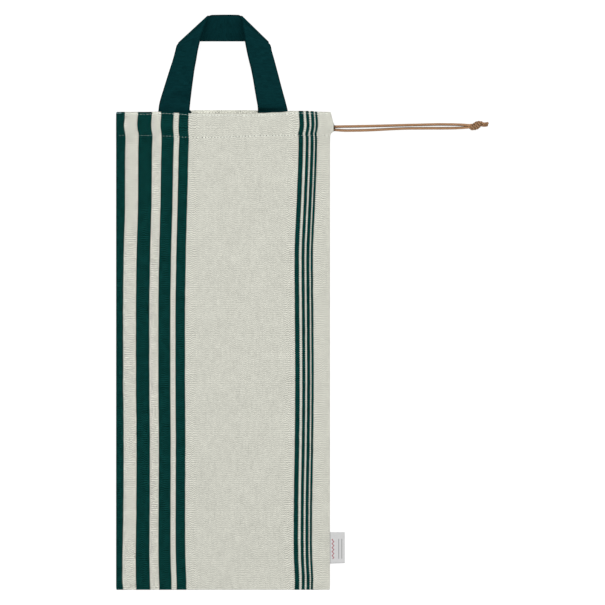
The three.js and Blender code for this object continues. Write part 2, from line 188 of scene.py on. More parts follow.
# The handle's legs from the mouth to the mitre: y, outer edge, inner edge and height of the outer edge
LEFT_LEG = (
    (311.2, -84.9, -41.2, 3.2), (313, -84.8, -42.4, 3.2), (314.8, -84.6, -44.0, 3.2),
    (319, -84.2, -43.6, 3.2), (327.6, -82.4, -42.7, 2.9), (340.7, -78.4, -41.0, 2.3),
    (353.7, -74.3, -39.3, 2.1), (366.8, -70.1, -37.5, 2.4), (379.8, -65.8, -35.1, 2.9),
    (391.5, -62.6, -33.1, 3.4),
)
RIGHT_LEG = (
    (312, 84.2, 45.1, 3.2), (319, 82.9, 44.8, 3.2), (327.6, 80.7, 43.3, 2.9), (340.7, 77.0, 41.1, 2.3),
    (353.7, 73.6, 39.0, 2.1), (366.8, 70.1, 36.5, 2.4), (379.8, 66.6, 33.3, 2.9), (391.5, 63.3, 30.7, 3.4),
)
# Each end: sewn edges outer and inner, last ruling before the mitre, and the mitre's line from above
LEFT_END = (-85.0, -45.9, (-60.8, 398.2, 3.7), (-27.4, 414.0, 28.6), (-59.5, 401.9), (-20.1, 437.6))
RIGHT_END = (84.2, 45.1, (61.6, 398.6, 3.7), (26.7, 414.0, 26.5), (59.8, 403.2), (24.3, 437.4))
SEWN_DOWNS = (31, 28, 25, 21, 17, 14, 11, 7, 3)
# How high and how far the sewn ends bridge the cord, their gap from the cloth, and the least height
STRAP_SWELL, STRAP_BRIDGE, SEWN_GAP, STRAP_FLOOR = 3.9, 14.0, 0.3, 0.02
MITRE_RADIUS = 1.35
MITRE_ANGLES = np.radians(np.linspace(40, 158, 7))
TOP_LOW_Y, TOP_HIGH_Y = 404.1, 438.4
# Rulings of its top part from each mitre: x at the upper and the lower edge, and y at the upper one
LEFT_TOP = ((-14, -42, 438.05), (-5, -14, 438.25))
RIGHT_TOP = ((19, 50, 438.1), (14, 42, 438.25), (5, 14, 438.35))

# The strands' routes from inside the hem to the knot
LYING = 1.8
UPPER_STRAND = (
    (137.0, 292.6, 4.1), (141.2, 292.7, 3.4), (147, 292.6, 3.0), (156, 292.8, 2.2), (170, 293.0, LYING),
    (186, 293.3, LYING), (202, 293.7, LYING), (218, 294.1, LYING), (232, 294.5, LYING), (245, 294.8, LYING),
    (258, 295.1, LYING), (270, 295.4, LYING), (282, 295.6, LYING), (294, 295.5, LYING), (306, 295.3, 2.1),
    (315.5, 294.8, 4.1), (320.9, 294.3, 5.3), (326.5, 295.1, 5.0),
)
LOWER_STRAND = (
    (137.0, 289.2, 3.2), (141.2, 288.9, 3.4), (147, 288.4, 3.0), (157, 287.7, 2.2), (170, 287.7, LYING),
    (182, 287.9, LYING), (194, 288.3, LYING), (206, 288.9, LYING), (217, 289.5, LYING), (228, 290.0, LYING),
    (240, 290.4, LYING), (255, 290.5, LYING), (272, 290.6, LYING), (290, 290.6, LYING), (305, 290.9, 2.1),
    (314, 291.4, 3.6), (320.9, 292.0, 5.0), (325, 292.6, 5.7),
)
UPPER_ENTRY = ((137.8, 292.8, 3.9), (134, 292.2, 5.6), (130, 291.4, 8.0))
LOWER_ENTRY = ((126, 290.9, 2.6), (131, 290.3, 2.7), (137.8, 289.4, 3.2))
UPPER_EXIT = (144.6, 293.0, 3.3)
LOWER_EXIT = (144.6, 288.7, 3.3)
# In the hem: stops under the upper panel, turns round the fold, and stops on the lower panel
FRONT_STOPS = np.arange(122, -128, -16.0)
FOLD_TURNS = np.radians(np.linspace(20, 170, 7))
BACK_STOPS = (-126, -118, -110, -60, 0, 60, 110)
STRAND_RINGS, HEM_CORD_RINGS, KNOT_RINGS = 640, 240, 420
# The braid: how far apart its crossings lie, bundles each way, relief, and where its rings start
BRAID_LAY, BRAID_BUNDLES, BRAID_RELIEF = 2.1, 4, 0.15
CORD_LEAN = np.array((0.3, -0.95, 0.1))

# The knot: a pair of cords wrapped twice round its axis. Its middle, its turn from above and its sizes.
KNOT = np.array((330.5, 294.1, 4.9))
KNOT_TURN = math.radians(35)
KNOT_HALF, KNOT_RING, KNOT_FLAT = 5.8, 3.4, 0.86
KNOT_TAPER = math.radians(83)
# What is left of the cord's tone on the knot, which is darker all over
KNOT_SHADE = 0.8
WRAP_ANGLES = np.radians(np.linspace(-215, 505, 40))
# Where each cord's wraps lie along the axis, and its ways in and out
WRAP_PLACES = (1.45, -1.45)
KNOT_WAYS_IN = (((318.5, 294.5, 4.8), (321, 294.3, 5.3)), ((318.5, 291.8, 4.5), (321, 292.0, 5.0)))
KNOT_WAYS_OUT = (
    ((338.8, 296.6, 5.2), (342.2, 296.5, 3.6), (346.4, 297.5, 2.3)),
    ((338.2, 294.4, 4.2), (341.5, 294.2, 2.8), (345.7, 294.9, 1.9)),
)

# The side tab
TAB_LOW_Y, TAB_HIGH_Y = -277.8, -236.8
TAB_START, TAB_END = 138.6, 158.4
TAB_SKEW = 0.6
TAB_BEND, TAB_GAP, TAB_LIFT, TAB_RISE = 0.62, 0.15, 0.35, 0.75
# Its woven border: zigzag and lines, along the tape from its lower end in the seam
TAB_BAND = 37.0
TAB_LINES = (28.2, 24.2)
# From where to where up the tab the border runs, how softly it ends, and the zigzag's height
TAB_BORDER, TAB_BLUR, TAB_ZIGZAG = (6.0, 32.2), 0.2, 2.6

# The cotton: where its coarse strips end, how near a stripe the ribs deepen, and a yarn's run of one tone
STRIPS_END, NEAR_STRIPES, YARN_RUN = (66, 60), (16, 10), 9.0
# How strongly its tone varies on plain ground, and how much is added on the strips and on the stripes
RIBS, SPECKS, MOTTLE = (0.125, 0.065, 0.35), (0.6, 0.9, 0.6), (0.22, 0.25, 0.65)
# From where to where a needle hole's painted shade and the painted highlight on the puffed cloth beside a
# row come in
HOLE_RADII, PUFF_HIGHLIGHT_REACH = (1.0, 0.35), (1.7, 0.4)
# The webbing: its columns, the spacing of its yarns, how long and wide they keep a tone, and how far in
# painted shade darkens its selvedge
WEBBING_COLUMN, WEBBING_YARN, WEBBING_RUN, SELVEDGE_SHADE = 1.5, 0.95, (1.1, 7.0), (2.2, 0.8)
# How far in metres the painted shade in the cord's hollows reaches, the thread's twist in diameters, and
# the tape's ribs
CORD_SHADE_REACH, THREAD_TWIST, TAPE_RIBS = 0.005, 1.6, (0.35, 0.5)


# Properties


def metres(name, description, default):
    """A size property in metres."""
    return FloatProperty(name=name, description=description, default=default, unit="LENGTH")


def colour(name, description, default):
    """A colour property in linear light."""
    return FloatVectorProperty(
        name=name, description=description, default=default, subtype="COLOR", size=3, min=0, max=1
    )


class BreadBagSizes(PropertyGroup):
    """Sizes that a user would change."""

    width: metres("Width", "Across the bag, fold to seam", -2 * BAG_LOW.x)
    length: metres("Length", "From the mouth to the bottom seam", -2 * BAG_LOW.y)
    cloth: metres("Cloth", "Thickness of one layer", 0.001)
    cord: metres("Cord", "Diameter of the drawcord", 0.0032)
    strap: metres("Strap", "Width of the webbing", 0.039)
    strap_thickness: metres("Strap thickness", "Thickness of the webbing", 0.002)
    stitch: metres("Stitch", "Length of one hem stitch", 0.004)
    thread: metres("Thread", "Diameter of the thread", 0.00025)
    yarn: metres("Yarn", "Spacing of the warp yarns", 0.00068)
    tape: metres("Tape", "Thickness of the side tab's tape", 0.0005)

    def mm(self, name):
        """One of the sizes in millimetres."""
        return getattr(self, name) / MM


class BreadBagColours(PropertyGroup):
    """Colours of the yarns and the tape, in linear light."""

    ecru: colour("Ecru", "Plain ground of the cloth", (0.542, 0.542, 0.480))
    green: colour("Green", "Stripes of the cloth", (0.0027, 0.0308, 0.0279))
    # The stripes' paler colour at the fold's corner: a painted highlight, with pale weft showing
    glint_and_wear: colour("Worn", "Stripes where they are rubbed pale", (0.1, 0.18, 0.19))
    webbing: colour("Webbing", "The handle", (0.0026, 0.0263, 0.0293))
    cord: colour("Cord", "The drawcord", (0.47, 0.262, 0.136))
    thread: colour("Thread", "The hem's stitches", (0.82, 0.93, 0.88))
    tape: colour("Tape", "The side tab", (0.53, 0.53, 0.53))
    band: colour("Band", "The side tab's woven zigzag", (0.27, 0.02, 0.035))
    line: colour("Line", "The side tab's thin lines", (0.16, 0.16, 0.16))


class BreadBagStage(PropertyGroup):
    """The camera and the light."""

    lens: FloatProperty(name="Lens", description="Focal length in millimetres", default=600)
    ambient: FloatProperty(name="Ambient", description="Brightness of the surroundings", default=0.95)
    key: FloatProperty(name="Key", description="Power of the large soft light in watts", default=42)


# Curves and meshes


def hermite(at, keys, values, slopes):
    """Cubic pieces between keys: h00 a + h10 w ma + h01 b + h11 w mb, with t along each piece."""
    piece = np.clip(np.searchsorted(keys, at, side="right") - 1, 0, len(keys) - 2)
    width = keys[piece + 1] - keys[piece]
    t = np.clip((at - keys[piece]) / width, 0, 1)
    if values.ndim > 1:
        width, t = width[..., None], t[..., None]
    start = (1 + 2 * t) * (1 - t) ** 2 * values[piece] + t * (1 - t) ** 2 * width * slopes[piece]
    end = t**2 * (3 - 2 * t) * values[piece + 1] + t**2 * (t - 1) * width * slopes[piece + 1]
    return start + end


def level_slopes(keys, values):
    """Slopes with which cubic pieces never swing past their values.

    Each is the harmonic mean of the slopes on its two sides, and level at a peak or an end.
    """
    steps = (np.diff(values, axis=0).T / np.diff(keys)).T
    product = steps[:-1] * steps[1:]
    rising = product > 0
    inner = np.where(rising, 2 * product / np.where(rising, steps[:-1] + steps[1:], 1), 0)
    return np.concatenate([0 * steps[:1], inner, 0 * steps[-1:]])


def table_curve(at, rows, column=1):
    """A smooth curve through a table's rows that never swings past them."""
    keys, values = np.array([(row[0], row[column]) for row in rows], float).T
    return hermite(np.asarray(at, float), keys, values, level_slopes(keys, values))


def smooth(value, low, high):
    """Zero below low, one above high, and 3 t squared less 2 t cubed between."""
    t = np.clip((value - low) / (high - low), 0, 1)
    return t * t * (3 - 2 * t)


def hump(distance, reach):
    """A squared cosine: one at no distance, zero from reach outwards."""
    return np.cos(np.pi / 2 * np.minimum(1, np.abs(distance) / reach)) ** 2


def lengths_along(path):
    """Distance of each point of a path from its start."""
    steps = np.linalg.norm(np.diff(path, axis=-2), axis=-1)
    return np.concatenate([0 * steps[..., :1], np.cumsum(steps, axis=-1)], axis=-1)


def route(points, count):
    """A smooth path through points, as cubic pieces over their chord lengths, sampled at count places."""
    points = np.array(points, float)
    chord = lengths_along(points)
    slopes = np.gradient(points, chord, axis=0)
    return hermite(np.linspace(0, chord[-1], count), chord, points, slopes)


def unit(vectors):
    """The same directions with length one."""
    return vectors / np.linalg.norm(vectors, axis=-1, keepdims=True)


def join(*parts):
    """Points from their x, y and z, or places from two parts, each spread to the same shape."""
    return np.stack(np.broadcast_arrays(*parts), axis=-1)


def put_in_scene(data):
    """A new object for a mesh, camera or light, under the same name."""
    thing = bpy.data.objects.new(data.name, data)
    bpy.context.scene.collection.objects.link(thing)
    return thing


def link_piece(mesh, material):
    """Puts a mesh into the scene as a piece that rides on the bag's body."""
    piece = put_in_scene(mesh)
    mesh.materials.append(material)
    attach(piece, BODY)
    return piece


def grid_mesh(name, points, uv, wrap=False, relief=None):
    """One mesh of quads on grids of points, in millimetres: shape (..., rows, columns, 3).

    With wrap the last column joins the first. uv, in millimetres, has one more column than the quads.
    """
    rows, columns = points.shape[-3:-1]
    blocks = points.reshape(-1, rows, columns, 3)
    index = np.arange(blocks[..., 0].size).reshape(blocks.shape[:3])
    if wrap:
        index = np.concatenate([index, index[:, :, :1]], axis=2)
    near, far = slice(None, -1), slice(1, None)
    corners = ((near, near), (near, far), (far, far), (far, near))
    quads = np.stack([index[:, r, c] for r, c in corners], axis=-1).reshape(-1, 4)
    mesh = bpy.data.meshes.new(name)
    mesh.from_pydata((blocks.reshape(-1, 3) * MM).tolist(), [], quads.tolist())
    uv = np.broadcast_to(uv, (len(blocks), rows, index.shape[2], 2))
    flat = np.stack([uv[:, r, c] for r, c in corners], axis=-2).reshape(-1, 2) * MM
    mesh.uv_layers.new(name="weave").data.foreach_set("uv", flat.astype(np.float32).ravel())
    if relief is not None:
        heights = mesh.attributes.new("relief", "FLOAT", "POINT")
        heights.data.foreach_set("value", relief.astype(np.float32).ravel())
    work = bmesh.new()
    work.from_mesh(mesh)
    bmesh.ops.remove_doubles(work, verts=work.verts, dist=1e-7)
    bmesh.ops.recalc_face_normals(work, faces=work.faces)
    work.to_mesh(mesh)
    work.free()
    mesh.shade_smooth()
    return mesh


# The bag's cloth


def wall(sizes, down):
    """Thickness of one panel: two layers in the hem and one below it, and the cord as a squared cosine."""
    layers = 2 - smooth(down, HEM_EDGE - HEM_STEP, HEM_EDGE + HEM_STEP)
    return layers * sizes.mm("cloth") + sizes.mm("cord") * hump(down - CORD_DEPTH, CHANNEL_REACH)


def row_down(row, x):
    """How far below the mouth a row of the hem's stitches runs: the upper one, 0, or the lower one, 1."""
    return table_curve(x, ROW_PLACES[row])


def row_hump(x, down, width):
    """One along each of the hem's two rows of stitches, falling off as a Gaussian of that width."""
    return sum(np.exp(-(((down - row_down(row, x)) / width) ** 2)) for row in (0, 1))


def soft_relief(x, down, half_length):
    """Height of the upper panel's creases and waves: Gaussians about short lines, and sums of sines."""
    y = half_length - down
    height = np.zeros(np.broadcast(x, y).shape)
    for x0, y0, x1, y1, width, lift in CREASES:
        along = np.array((x1 - x0, y1 - y0), float)
        t = np.clip(((x - x0) * along[0] + (y - y0) * along[1]) / (along @ along), 0, 1)
        away = (x - x0 - t * along[0]) ** 2 + (y - y0 - t * along[1]) ** 2
        height += lift * np.exp(-away / width**2)
    below_hem = smooth(down, *WAVES_GROW) * (1 - smooth(down, *WAVES_FADE))
    for lift, across, along, start in WAVES:
        height += lift * below_hem * np.sin(2 * np.pi * (x / across + down / along) + start)
    pucker = PUCKER * np.sin(2 * np.pi * x / PUCKER_SPACING + np.sin(x / PUCKER_DRIFT))
    return height + pucker * row_hump(x, down, PUCKER_REACH)


def roof(sizes, x, down):
    """Height of the upper panel's outside.

    It rises from the edges' height as one less a power of the share of the half width, and near the cord's
    exit it sinks towards the drawn-out nose.
    """
    half = sizes.mm("width") / 2
    layers = 2 - smooth(down, *OUTSIDE_STEP)
    held = sizes.mm("cord") * hump(down - CORD_DEPTH, OUTSIDE_REACH)
    edge = 2 * (layers * sizes.mm("cloth") + held) + SIDE_GAP
    rise = 1 - np.minimum(1, np.abs(x) / half) ** CROWN_POWER
    middle = np.maximum(edge, table_curve(down, PANEL_HEIGHTS))
    relief = soft_relief(x, down, sizes.mm("length") / 2)
    height = edge + (middle - edge) * rise + relief * np.sqrt(np.maximum(rise, 0))
    return height + (np.minimum(height, EXIT_HEIGHT) - height) * smooth(x, EXIT_FROM, EXIT_TO)


def bag_points(sizes, share, down, depth, side, pinch=1.0):
    """Points of the bag's cloth.

    share runs from the fold to the seam, depth from the outside to the inside face, and side is 1 on the
    upper panel, -1 on the lower one and 0 on the edges. A section is a lens with half-round edges: the
    height is the middle plus or minus half the thickness times the root of 1 less (1 - inward) squared.
    """
    half_width = sizes.mm("width") / 2
    thick = wall(sizes, down)
    corner = table_curve(down, CORNERS)
    left = -half_width + corner + depth * thick
    right = half_width - corner + table_curve(down, NOSE) - depth * table_curve(down, SEAM_WIDTHS)
    x = left + (right - left) * share
    low = depth * thick
    high = roof(sizes, x, down) - depth * thick
    half = np.maximum(LEAST_HALF, (high - low) / 2)
    inward = np.clip(np.minimum(x - left, right - x) / half, 0, 1)
    swell = np.sqrt(1 - (1 - inward) ** 2)
    outside = 1 - depth
    groove = row_hump(x, down, ROW_WIDTH) * swell * outside
    z = low + half + side * half * swell * pinch
    z = z - np.where(side > 0, ROW_GROOVE, -BACK_GROOVE) * groove * np.abs(side)
    on_seam = outside * (share > 0.5)
    at_slit = smooth(SLIT_REACH - np.abs(down - SLIT_DOWN), *SLIT_EASE)
    slit = SLIT_DEPTH * at_slit * (1 - smooth(swell, *SLIT_SWELL))
    slit = slit - LOWER_LIP * at_slit * (side < 0) * np.exp((x - right) / LIP_FADE)
    seam_line = SEAM_LINE * smooth(down, *SEAM_LINE_DOWN) * (1 - smooth(swell, *SEAM_LINE_SWELL))
    back = BACK_RISE * (1 - smooth(np.abs(x), BACK_FROM, BACK_TO))
    rise = np.abs(side) * np.where(side > 0, table_curve(x, FRONT_EDGE), back)
    shift = rise * np.maximum(0, 1 - down / EDGE_DEPTH)
    y = sizes.mm("length") / 2 - down + shift
    return join(x - on_seam * (slit + seam_line), y, z)


def drift(x_from_fold, down):
    """How far the grain has drifted across: linear between the places of the table's columns."""
    columns = [table_curve(down, DRIFT, i + 1) for i in range(len(DRIFT_PLACES))]
    moved = columns[0]
    for i, (place, beyond) in enumerate(zip(DRIFT_PLACES, DRIFT_PLACES[1:])):
        share = np.clip((x_from_fold - place) / (beyond - place), 0, 1)
        moved = moved + share * (columns[i + 1] - columns[i])
    return moved


def grain(sizes, x, down, side):
    """The cloth's own measure: across from the fold, minus on the lower panel, and along from the mouth.

    Along, it follows both rows of stitches where they wander, and fades to straight between them.
    """
    from_fold = x + sizes.mm("width") / 2
    across = np.where(side < 0, -from_fold - drift(0.0, down), from_fold - drift(from_fold, down))
    near_first = 1 - smooth(down, *FIRST_LEFT)
    near_second = smooth(down, *SECOND_MET) * (1 - smooth(down, *SECOND_LEFT))
    along = down
    for row, near in enumerate((near_first, near_second)):
        along = along - (row_down(row, x) - ROW_DEPTHS[row]) * near
    return across, along


def bag_shares(width, columns, steps=20000):
    """Shares from the fold to the seam, close together near both edges: the inverse of a running sum."""
    fine = np.linspace(0, 1, steps + 1)
    away = width * np.minimum(fine, 1 - fine)
    density = 1 + CROWDING * np.exp(-away / CROWD_WIDTH) * np.sqrt(CROWD_WIDTH / (away + CROWD_LEAST))
    total = np.concatenate([[0], np.cumsum((density[1:] + density[:-1]) / 2)])
    return np.interp(np.linspace(0, total[-1], columns + 1), total, fine)


def bag_rows(length):
    """Rows of the bag from the outside of the bottom seam, over the mouth, to the inside of the bottom.

    Each row is how far down it is, its depth in the cloth and the share of the section's height kept.
    """
    seam = [(length - 0.7, 0), (length - 0.1, 0.3), (length, 0.55), (length - 0.4, 0.85), (length - 1.4, 1)]
    body = np.concatenate([[621, 619, 616, 612], np.arange(606, 66, -9), [60, 54, 49, 45, 42, 39.5, 37.5]])
    hem = np.concatenate([np.arange(36, 4.9, -0.8), np.arange(4.5, 1.2, -0.5), [1.0]])
    outside = [(down, 0, 1) for down in (*body, *hem)]
    turns = np.radians((30, 60, 90, 120, 150))
    rim = [(1 - math.sin(turn), (1 - math.cos(turn)) / 2, 1) for turn in turns]
    inner_downs = np.concatenate([
        [1, 2, 4], np.arange(7, 32, 2), [32, 32.6, 33, 33.3, 33.6, 33.9, 34.2, 34.6, 36],
        np.arange(42, 605, 20), [606, 613, 618, 620],
    ])
    inside = [(down, 1, 1) for down in inner_downs]
    bottom = [(length - 2.6, 1, 0.6), (length - 2, 1, 0)]
    return np.array([*((down, 0, kept) for down, kept in seam), *outside, *rim, *inside, *bottom])


def bag_mesh(sizes, columns=240):
    """The bag as one closed skin: rows over the outside, the mouth's rim and the inside, columns round it.

    The faces of the two panels are made apart and then joined, because the seam has its own place in the
    cloth's coordinates on each.
    """
    down, depth, pinch = bag_rows(sizes.mm("length")).T[..., None]
    share = bag_shares(sizes.mm("width"), columns)
    flat = np.concatenate([[0], np.ones(columns - 1), [0]])
    turned = np.where(depth > 0.5, -1, 1)
    panels, uv = [], []
    for side in (1, -1):
        points = bag_points(sizes, share, down, depth, side * flat, pinch)
        across, along = grain(sizes, points[..., 0], down, side)
        order = slice(None, None, side)
        panels.append(points[:, order])
        uv.append(join(across, along * turned)[:, order])
    return grid_mesh("bag_cloth", np.stack(panels), np.stack(uv))


def hem_stitch_mesh(sizes, steps=9, around=6):
    """Every stitch of the hem's two rows on both panels: a thread that arches between two needle holes.

    The thread's middle is the cloth's outside plus a lift that grows as the root of a sine, and its radius
    shrinks to nothing at both ends. The stitches are unevenly long.
    """
    pitch = sizes.mm("stitch")
    radius = sizes.mm("thread") / 2
    half = sizes.mm("width") / 2
    random = np.random.default_rng(STITCH_SEED)
    t = np.linspace(0, 1, steps)
    arch = np.sqrt(np.sin(np.pi * t))
    angle = np.linspace(0, 2 * np.pi, around, endpoint=False)
    ring = join(0, np.cos(angle), np.sin(angle))
    blocks = []
    for side in (1, -1):
        for row, (start, shares) in enumerate(zip(ROW_STARTS, STITCH_SHARES)):
            plan = np.linspace(start - half, half - ROW_END, 2000)
            across = grain(sizes, plan, row_down(row, plan), side)[0]
            order = np.argsort(across)
            number = np.arange(np.ceil(across.min() / pitch), np.floor(across.max() / pitch))[:, None]
            along = 0.5 + random.uniform(*shares, number.shape) * (t - 0.5)
            x = np.interp((number + along) * pitch, across[order], plan[order])
            down = row_down(row, x)
            share = (x + half) / (2 * half + table_curve(down, NOSE))
            middle = bag_points(sizes, share, down, 0.0, float(side))
            middle[..., 2] += side * radius * (STITCH_ARCH * arch - STITCH_SINK)
            size = radius * np.minimum(1, STITCH_SWELL * arch)
            blocks.append(middle[:, :, None] + size[:, None, None] * ring)
    uv = join(np.linspace(0, 2, around + 1), (t * pitch)[:, None])
    return grid_mesh("hem_stitches", np.concatenate(blocks), uv, wrap=True)


# The handle


def half_handle(sizes, leg, end, top):
    """Rulings, inner and outer edge, of half the handle from its sewn end to the middle of its top part.

    The webbing keeps its width, so a leg's inner edge stands higher by the root of the width squared less
    its width from above squared. The mitre turns about a line parallel to itself and slides along it by
    the length of its arc, because the webbing crosses it at half a right angle.
    """
    width, thick = sizes.mm("strap"), sizes.mm("strap_thickness")
    sewn_outer, sewn_inner, fan_outer, fan_inner, mitre_outer, mitre_inner = map(np.array, end)
    half_length = sizes.mm("length") / 2
    downs = np.array(SEWN_DOWNS, float)
    bridge = STRAP_SWELL * hump(downs - CORD_DEPTH, STRAP_BRIDGE)
    z = 2 * sizes.mm("cloth") + bridge + SEWN_GAP + thick / 2
    inner, outer = ([join(x, half_length - downs, z)] for x in (sewn_inner, sewn_outer))
    y, leg_outer, leg_inner, lift = np.array(leg, float).T
    tilt = np.sqrt(np.maximum(0, width**2 - (leg_outer - leg_inner) ** 2))
    inner += [join(leg_inner, y, lift + tilt), fan_inner[None]]
    outer += [join(leg_outer, y, lift), fan_outer[None]]
    low_z = thick / 2 * (TOP_HIGH_Y - TOP_LOW_Y) / width
    high_z = low_z + math.sqrt(width**2 - (TOP_HIGH_Y - TOP_LOW_Y) ** 2)
    turn = np.sign(sewn_outer)
    line = mitre_inner - mitre_outer
    outward = unit(np.array((line[1] * turn, -line[0] * turn, 0.0)))
    sink = MITRE_RADIUS * math.cos(MITRE_ANGLES[-1])
    centres = [
        np.array((*place, height - sink)) - (MITRE_RADIUS + thick / 2) * outward
        for place, height in ((mitre_inner, high_z), (mitre_outer, low_z))
    ]
    along = unit(centres[0] - centres[1])
    angles = MITRE_ANGLES[:, None]
    bend = np.cos(angles) * np.cross(along, outward) * turn + np.sin(angles) * outward
    bend = MITRE_RADIUS * (bend + (angles - np.pi / 2) * along)
    inner.append(centres[0] + bend)
    outer.append(centres[1] + bend)
    for high_x, low_x, high_y in top:
        inner.append([(high_x, high_y, high_z)])
        outer.append([(low_x, TOP_LOW_Y, low_z)])
    return np.concatenate(inner), np.concatenate(outer)


def handle_mesh(sizes, across=28, step=0.8):
    """The webbing: a flat section with round selvedges, carried along rulings from end to end.

    A point is the ruling's place at its share across, plus its height in the section times the normal,
    which is the cross product of the ruling and the path. The height closes to nothing at both sewn ends.
    """
    width, thick = sizes.mm("strap"), sizes.mm("strap_thickness")
    left = half_handle(sizes, LEFT_LEG, LEFT_END, LEFT_TOP)
    right = half_handle(sizes, RIGHT_LEG, RIGHT_END, RIGHT_TOP)
    inner, outer = (np.concatenate([a, b[::-1]]) for a, b in zip(left, right))
    chord = lengths_along((inner + outer) / 2)
    at = np.linspace(0, chord[-1], round(chord[-1] / step))
    inner, outer = (hermite(at, chord, edge, level_slopes(chord, edge)) for edge in (inner, outer))
    middle = (inner + outer) / 2
    normal = unit(np.cross(outer - inner, np.gradient(middle, axis=0)))
    normal[[0, -1]] = 0
    flat = np.linspace(-1, 1, across) * (width - thick) / 2
    turn = np.radians(np.linspace(90, -90, 7)[1:-1])
    round_a, round_b = np.cos(turn) * thick / 2, np.sin(turn) * thick / 2
    section_a = np.concatenate([flat, flat[-1] + round_a, flat[::-1], flat[0] - round_a])
    section_b = np.concatenate([np.full(across, thick / 2), round_b, np.full(across, -thick / 2), -round_b])
    share = 0.5 + section_a / width
    points = inner[:, None] + share[None, :, None] * (outer - inner)[:, None]
    points = points + section_b[None, :, None] * normal[:, None]
    around = np.concatenate([section_a, section_a[:1]])
    uv = join(around, lengths_along(middle)[:, None])
    points[:, :, 2] = np.maximum(points[:, :, 2], STRAP_FLOOR)
    return grid_mesh("handle_webbing", points, uv, wrap=True)


# The drawcord


def cord_mesh(name, paths, diameter, around=26):
    """Braided tubes in one mesh, along paths of equally many points.

    A ring's radius is the cord's plus a share of its relief, the larger of two cosines that wind in
    opposite directions. Both ends are rounded off as quarter circles.
    """
    paths = np.array(paths)
    angle = np.linspace(0, 2 * np.pi, around, endpoint=False)
    along = lengths_along(paths)[..., None]
    tangent = unit(np.gradient(paths, axis=1))
    first = unit(CORD_LEAN - (tangent @ CORD_LEAN)[..., None] * tangent)
    second = np.cross(tangent, first)
    phase = 2 * np.pi * along / BRAID_LAY
    height = np.maximum(np.cos(BRAID_BUNDLES * angle + phase), np.cos(BRAID_BUNDLES * angle - phase))
    ends = np.minimum(along, along[:, -1:] - along) / (diameter / 2)
    cap = np.sqrt(1 - (1 - np.clip(ends, 0, 1)) ** 2)
    radius = diameter / 2 * cap * (1 + BRAID_RELIEF * height)
    ring = np.cos(angle)[:, None] * first[:, :, None] + np.sin(angle)[:, None] * second[:, :, None]
    points = paths[:, :, None] + radius[..., None] * ring
    round_it = np.linspace(0, np.pi * diameter, around + 1)
    uv = join(round_it, along)
    return grid_mesh(name, points, uv, wrap=True, relief=height)


def hem_cord_path(sizes):
    """The cord's way inside the hem: under the upper panel's outer layer, round the fold and back below."""
    half = sizes.mm("width") / 2
    inset = sizes.mm("cloth") + sizes.mm("cord") / 2
    y = sizes.mm("length") / 2 - CORD_DEPTH
    front = join(FRONT_STOPS, y, roof(sizes, FRONT_STOPS, CORD_DEPTH) - inset)
    edge = float(roof(sizes, np.array(-half), CORD_DEPTH)) / 2
    radius = edge - inset
    bend_x = inset - half + radius * (1 - np.sin(FOLD_TURNS))
    bend = join(bend_x, y, edge + radius * np.cos(FOLD_TURNS))
    back = join(BACK_STOPS, y, inset)
    return route(np.concatenate([UPPER_ENTRY, front, bend, back, LOWER_ENTRY]), HEM_CORD_RINGS)


def knot_paths():
    """Two cords that go in side by side, wrap tightly round the knot's axis and come out as tails.

    A wrap is an ellipse that moves along the axis as it turns. It narrows towards both ends of the knot as
    a cosine of the distance from its middle.
    """
    axis = np.array((math.cos(KNOT_TURN), math.sin(KNOT_TURN), 0.0))
    aside = np.array((-axis[1], axis[0], 0.0))
    up = np.array((0.0, 0.0, KNOT_FLAT))
    turn = WRAP_ANGLES[:, None]
    share = np.linspace(-1, 1, len(turn))[:, None]
    around = np.cos(turn) * aside + np.sin(turn) * up
    paths = []
    for way_in, way_out, place in zip(KNOT_WAYS_IN, KNOT_WAYS_OUT, WRAP_PLACES):
        along = place + KNOT_HALF * share
        narrow = np.cos(KNOT_TAPER * along / (KNOT_HALF + abs(place)))
        wrap = KNOT + along * axis + KNOT_RING * narrow * around
        paths.append(route(np.concatenate([way_in, wrap, way_out]), KNOT_RINGS))
    return paths


# The side tab


def tab_mesh(sizes, around=10, across=24, steps=8):
    """The tape: a flat section carried along a hairpin that leaves the seam and comes back to it.

    The hairpin runs out, round a half circle and back. A point is its place plus or minus half the
    thickness along its normal. The thickness closes at both ends in the seam. The upper layer rises to the
    seam as the cube of the distance from its bend, and its corners lift a little, as the square of that
    from the seam.
    """
    thick = sizes.mm("tape")
    turn = np.radians(np.linspace(-90, 90, around))
    out = np.linspace(TAB_START, TAB_END - TAB_BEND, steps + 1)[:-1]
    level = thick / 2 + TAB_GAP
    x = np.concatenate([out, TAB_END - TAB_BEND + TAB_BEND * np.cos(turn), out[::-1]])
    rise = np.concatenate([-np.ones(steps), np.sin(turn), np.ones(steps)])
    line = np.stack([x, level + TAB_BEND * (1 + rise)], axis=-1)
    direction = unit(np.gradient(line, axis=0))
    direction[[0, -1]] = 0
    t = np.linspace(0, 1, across)
    share = np.concatenate([t, t[::-1]])
    offset = thick / 2 * np.repeat((1, -1), across)
    reach = ((x - TAB_START) / (TAB_END - TAB_START))[:, None]
    height = TAB_HIGH_Y - TAB_LOW_Y
    y = TAB_LOW_Y + height * share + TAB_SKEW * reach * (1 - share)
    lift = TAB_LIFT * reach**2 * (2 * share - 1) ** 2 + TAB_RISE * (1 - reach) ** 3
    lift = lift * np.linspace(0, 1, len(x))[:, None]
    z = line[:, 1:] - direction[:, :1] * offset + lift
    points = join(line[:, :1] + direction[:, 1:] * offset, y, z)
    uv = join(height * np.append(share, 0), lengths_along(line)[:, None])
    return grid_mesh("tab_tape", points, uv, wrap=True)


# Materials


def node_maths(operation, swapped=False):
    """A method that adds a Math node to its number's material, with that number last if swapped."""

    def method(number, *others):
        values = (*others, number) if swapped else (number, *others)
        return number.make.node("Math", dict(enumerate(values)), operation=operation)

    return method


